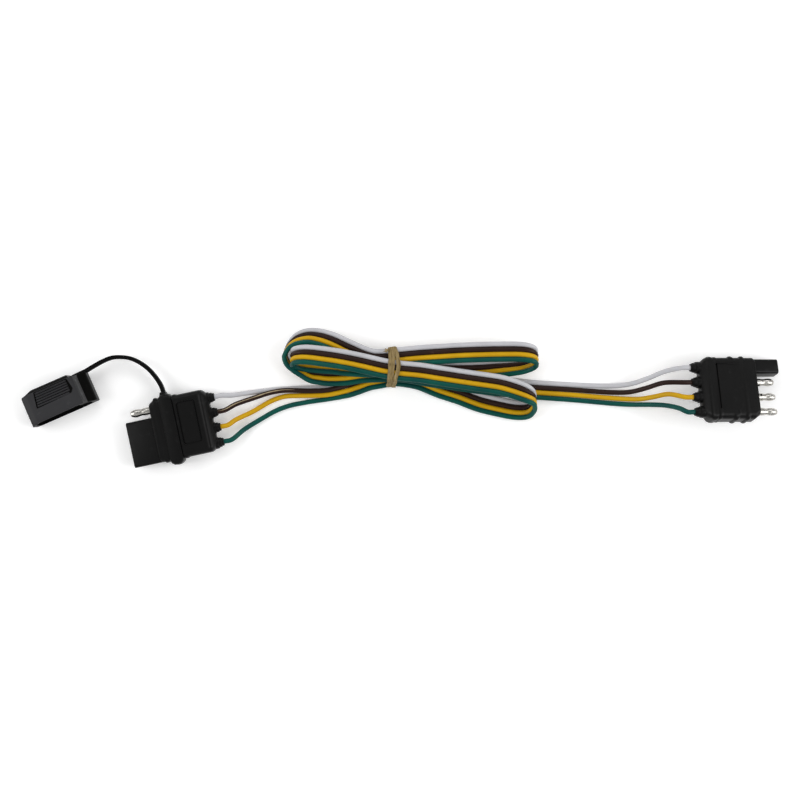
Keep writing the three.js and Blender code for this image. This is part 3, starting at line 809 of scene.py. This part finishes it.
def cap_outline(shrink=0.0):
    """The cap's section: full over the block, lower over the bare contact, sloped at the far end."""
    s = shrink
    # The sides give way less than the faces, and their corners stay between the faces.
    side = min(s, 0.4)
    lower = max(0.0, s - 0.6)
    right, left = 3.6 - lower, 4.6 - lower
    corners = [
        (20.9, -5.2 + s), (21.5 - side, -right), (21.5 - side, right), (20.9, 5.0 - s), (16.0, 5.1 - s),
        (13.4, 6.95 - s), (-17.6, 7 - s), (-21.0, 6.1 - s), (-21.8 + side, left), (-21.8 + side, -left),
        (-21.0, -6.1 + s), (-17.6, -7 + s), (13.4, -6.95 + s), (16.0, -5.1 + s),
    ]
    outline = rounded(corners, 0.7, 3)
    for split in (10.5, 9.9):
        outline = with_points_at(outline, split)
    return outline


def with_points_at(outline, split):
    """The same outline with a point added wherever it crosses this y."""
    result = []
    for a, b in zip(outline, outline[1:] + outline[:1]):
        result.append(a)
        if (a.x - split) * (b.x - split) < 0:
            result.append(a.lerp(b, (split - a.x) / (b.x - a.x)))
    return result


def hollow_outline():
    """The rooms for the block and for the bare contact, point for point with the cap's own outline."""
    outline = []
    for y, z in cap_outline():
        if y < 10.2:
            outline.append(Vector((y * 0.9 if y < 0 else y, z * 0.8)))
        else:
            height = 0.49 if y < 14 else 0.667
            outline.append(Vector((y if y < 13 else 13 + (y - 13) * 0.5, z * height)))
    return outline


def dust_cap():
    """A rubber box with a grip panel; its upper lip is cut back, so the mouth shows as a crescent."""
    # The back: x, how far it reaches to the left and right, and how much its chamfer takes off the height.
    back = ((-21.9, -13.6, 9.6, 2.0), (-21.7, -14.2, 10.1, 1.35), (-20.3, -17.4, 10.7, 0.2),
            (-20.1, -18.4, 10.9, 0.05), (-19.6, -20.6, 11.4, 0), (-19.5, -20.8, 20.6, 0),
            (-18.7, -21.6, 21.5, 0))
    rings = []
    for x, left, right, shrink in back:
        rings.append([Vector((x, min(max(p[0], left), right), p[1])) for p in cap_outline(shrink)])
    for x, shrink in ((-10, 0), (-4, 0), (-0.5, 0), (-0.12, 0.1), (0, 0.35)):
        rings.append(ring_x(x, cap_outline(shrink)))
    for x, grow in ((0, 0.25), (-0.3, 0), (-17.6, 0)):
        rings.append([Vector((x, p[0] * (1 + grow / 20), p[1] * (1 + grow / 6))) for p in hollow_outline()])
    rings = [[cut_back(p) for p in ring] for ring in rings]
    grip = [(-19.8, -12.8), (-9.6, -14.6), (-10.4, 9.4), (-12.6, 11.0), (-19.8, 9.6)]
    pocket = skin([ring_z(6.1, rounded(grip, 0.5, 4)), ring_z(9, rounded(grip, 0.6, 4))])
    shells = [carved(skin(rings), [pocket])]
    for k in range(6):
        x = -18.7 + 1.56 * k
        right = 8.8 if k < 5 else 8.0
        shells.append(grip_rib(x, -12.4 - 0.28 * k, right))
    shells.append(step_ridge())
    cap = thing("dust_cap", shells, CAP)
    finished(cap, RUBBER, body="cap", replaces=["dust_cap"])
    cap.data.materials.append(SMOOTH_RUBBER_AND_PAINTED_SHADE)
    cap.data.materials.append(RIDGE_PAINTED_HIGHLIGHT)
    to_cap = (TO_FRAME @ CAP).inverted()
    for face in cap.data.polygons:
        middle = to_cap @ face.center
        outward = (to_cap.to_3x3() @ face.normal).normalized()
        inside = abs(middle.z) < 5.7 and -17.7 < middle.x < 0.1 and -19.8 < middle.y < 17.4
        grip_floor = 6.0 < middle.z < 6.2 and outward.z > 0.9 and middle.y < 11.2
        over_contact = middle.y > 16
        back_wall = middle.x < -19.7 and outward.x < -0.4
        left_wall = outward.y < -0.75
        # Painted shade: the inside, the grip's floor, the back chamfer and the left wall take the nearly
        # black rubber, as does the face over the contact.
        if inside or grip_floor or over_contact or back_wall or left_wall:
            face.material_index = 1
        # The step ridge and the band beside it get the painted highlight.
        elif middle.y > 13.3:
            face.material_index = 2


def cut_back(point):
    """Takes the upper lip back from the mouth plane, most at the middle."""
    x, y, z = point
    if x > -1 and z > 0:
        x -= 1.6 * max(0.0, 1 - (y / 21.8) ** 4) * min(1.0, z / 5)
    return Vector((x, y, z))


def grip_rib(x, y0, y1):
    section = rounded([(x - 0.6, 6.0), (x + 0.6, 6.0), (x + 0.44, 7.0), (x - 0.44, 7.0)], 0.15, 3)
    ends = ((y0, 0.0), (y0 + 0.4, 1.0), (y1 - 0.4, 1.0), (y1, 0.0))
    rings = []
    for y, full in ends:
        rings.append([Vector((p[0], y, 6.0 + (p[1] - 6.0) * (0.25 + 0.75 * full))) for p in section])
    return skin(rings)


def step_ridge():
    """The rounded bead along the step down to the contact's end of the cap."""
    rings = []
    course = ((-18.0, 0.5), (-17.5, 1.0), (-10, 1.0), (-9.2, 0.9), (-8.6, 1.0), (-3.2, 1.0), (-2.5, 0.6))
    for x, size in course:
        rings.append([Vector((x, 14.6 + size * c, 6.1 + 1.1 * size * s)) for c, s in circle(1, 16)])
    return skin(rings)


STRAP_ROUTE = [
    (-206.8, 12.7), (-203.6, 14.6), (-200, 16.4), (-196, 18.3), (-191, 21.3), (-185.3, 24.4), (-180, 26.4),
    (-174.5, 26.8), (-168.5, 26),
    (-162.5, 23.3), (-157, 19.2), (-152.6, 14.2), (-149.4, 9.2), (-147.7, 4.6),
]
STRAP_MIDDLE_HEIGHT = 7


def strap_pieces():
    """The tether, in two halves that meet where its route reaches furthest in y."""
    route = spline([Vector((x, y, STRAP_MIDDLE_HEIGHT)) for x, y in STRAP_ROUTE], 1.2)
    split = max(range(len(route)), key=lambda i: route[i].y)
    section = rounded([(-1.25, -2.5), (1.25, -2.5), (1.25, 2.5), (-1.25, 2.5)], 0.55, 4)
    halves = {
        "tether_cap_end": (route[: split + 1], "strap", "cap", route[split - 4], route[5]),
        "tether_ring_end": (route[split:], "harness", "strap", route[-3], route[split + 4]),
    }
    for name, (points, first, second, start, end) in halves.items():
        piece = thing(name, [tube(points, section, fixed=True)], LAYOUT)
        piece.data.materials.append(TETHER)
        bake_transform(piece)
        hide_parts("cap_strap")


neck_ring()
dust_cap()
strap_pieces()


# ---------------------------------------------------------------- the tie
TIE_X = -4.4
random.seed(7)


def resampled(outline, count):
    """The same closed outline with count evenly spaced points, starting nearest its (+, -) corner."""
    start = max(range(len(outline)), key=lambda i: outline[i][0] - outline[i][1])
    outline = outline[start:] + outline[:start]
    loop = outline + [outline[0]]
    lengths = [0.0]
    for a, b in zip(loop, loop[1:]):
        lengths.append(lengths[-1] + (b - a).length)
    result = []
    j = 0
    for k in range(count):
        target = lengths[-1] * k / count
        while lengths[j + 1] < target:
            j += 1
        share = (target - lengths[j]) / max(lengths[j + 1] - lengths[j], 1e-9)
        result.append(loop[j].lerp(loop[j + 1], share))
    return result


def bundle_hull(clearance):
    """The outline round all the wires where the tie crosses them, in (y, z), evenly spaced."""
    points = []
    for _, y, z, _ in [p for p in RIBBON if p[0] == TIE_X]:
        for i in range(4):
            centre = Vector((y + (i - 1.5) * WIRE_PITCH, z))
            points += [centre + Vector(c) for c in circle(WIRE_RADIUS + clearance, 24)]
    order = geometry.convex_hull_2d(points)
    return resampled([points[i] for i in order], 150)


def strand_middle(y, z, table):
    """Where a strand's middle is along x: its own course over the top, straight underneath."""
    if z < 8:
        return table[-1][1]
    for (y0, x0), (y1, x1) in zip(table, table[1:]):
        if y1 <= y <= y0:
            share = (y0 - y) / (y0 - y1)
            share = share * share * (3 - 2 * share)
            return x0 + (x1 - x0) * share
    return table[0][1] if y > table[0][0] else table[-1][1]


def strand(table, wide, clearance, seed):
    """A band of twisted fibre round the bundle, crinkled and uneven."""
    hull = bundle_hull(clearance)
    middle = sum(hull, Vector((0, 0))) / len(hull)
    raw = [strand_middle(p.x, p.y, table) for p in hull]
    count = len(hull)
    rings = []
    for i, point in enumerate(hull):
        window = [raw[(i + k) % count] for k in range(-5, 6)]
        x_middle = sum(window) / len(window)
        outward = (point - middle).normalized()
        ring = []
        for k in range(24):
            a = 2 * math.pi * k / 24
            across = math.cos(a) * wide / 2
            thick = 0.3 * math.sin(a)
            crinkle = 0.32 * noise.noise(Vector((across * 1.7 + seed, point.x * 0.16, point.y * 0.16)))
            edge = 0.45 * noise.noise(Vector((seed * 3.1, point.x * 0.25, point.y * 0.25)))
            lift = thick + crinkle + 0.3
            place = point + outward * max(lift, 0.02)
            ring.append(Vector((x_middle + across * (1 + 0.3 * edge), place.x, max(place.y, 0.05))))
        rings.append(ring)
    return skin(rings, closed=True)


def frayed_end(origin, aim, count):
    """Loose fibres at the cut end of the tie."""
    shells = []
    for _ in range(count):
        spread = Vector((random.uniform(-0.35, 0.35), random.uniform(-0.4, 0.4), random.uniform(-0.2, 0.35)))
        direction = (aim + spread).normalized()
        shift = Vector((random.uniform(-0.5, 0.9), random.uniform(-1.0, 0.6), random.uniform(-0.3, 0.3)))
        start = origin + shift
        reach = random.uniform(1.4, 3.0)
        points = [start + direction * reach * t + Vector((0, 0, -0.5 * t * t)) for t in (0, 0.35, 0.7, 1)]
        rings = []
        for point, size in zip(points, (0.3, 0.28, 0.2, 0.07)):
            rings.append([point + Vector((0, c * size, s * size)) for c, s in circle(1, 7)])
        shells.append(skin(rings))
    return shells


def hank_tie():
    left = [(33, -5.6), (26, -5.1), (19, -5.4), (13, -6.0), (6, -6.8)]
    right = [(33, -3.6), (27, -1.6), (21, -0.8), (17, -1.5), (12.5, -3.2), (6, -4.0)]
    shells = [strand(left, 4.0, 0.1, 1.3), strand(right, 2.7, 0.45, 5.9)]
    shells += frayed_end(Vector((-7.6, 30.6, 15.2)), Vector((-0.9, 0.5, 0.0)), 9)
    tie = thing("hank_tie", shells, LAYOUT, crease=50)
    finished(tie, RAFFIA, replaces=["hank_tie"])


hank_tie()


# ---------------------------------------------------------------- what stays as it was modelled
CARRIED = {"plug_insert": CARRIER}
CARRIED.update({f"{end}_conductor_{colour}": COPPER for end in ("socket", "plug") for colour in COLOURS})
for name, material in CARRIED.items():
    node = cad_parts[name]
    node.data.materials.clear()
    node.data.materials.append(material)
